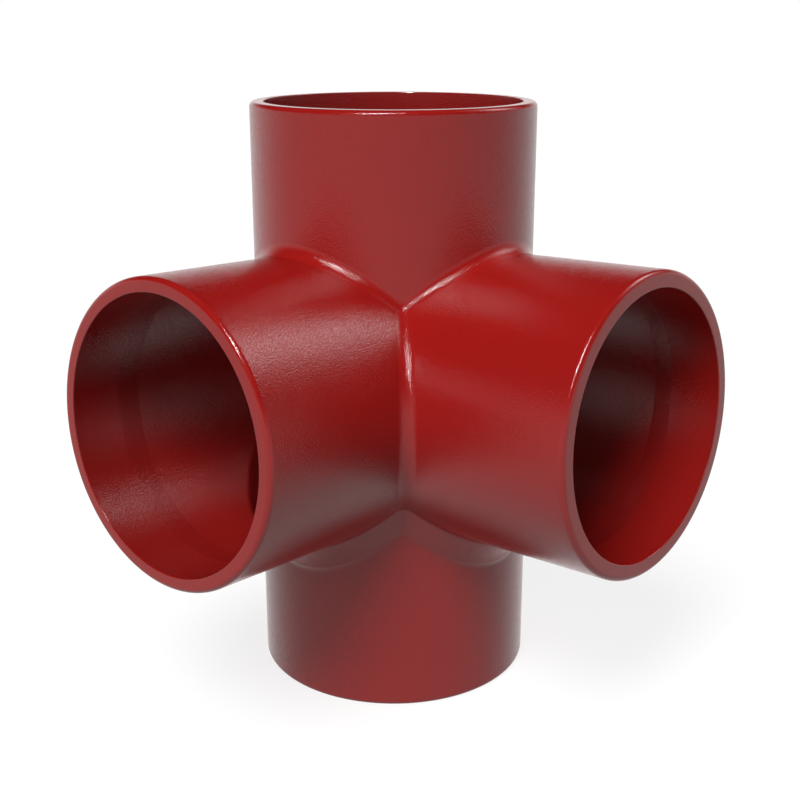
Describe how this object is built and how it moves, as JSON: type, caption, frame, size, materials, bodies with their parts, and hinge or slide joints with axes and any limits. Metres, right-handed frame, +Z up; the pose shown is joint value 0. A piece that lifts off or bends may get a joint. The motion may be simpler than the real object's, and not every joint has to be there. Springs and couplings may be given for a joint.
{
  "type": "corner branch fitting",
  "caption": "Hubless cast-iron drain pipe fitting: an upright run with equal branches at a right angle to each other, each rising slightly, over swept inlets, in red epoxy paint.",
  "frame": {"origin": "centre of the run's lower end face, on the run's axis", "axes": "+Z up the run; the left branch points along -Y and the right branch along +X, each rising 2 degrees outwards"},
  "size_m": [0.1768, 0.1768, 0.23],
  "materials": {
    "red_epoxy": "satin red epoxy coat over cast iron, inside and outside, with a fine cast grain"
  },
  "bodies": {
    "root": {"corner_branch": "red_epoxy"}
  },
  "joints": []
}
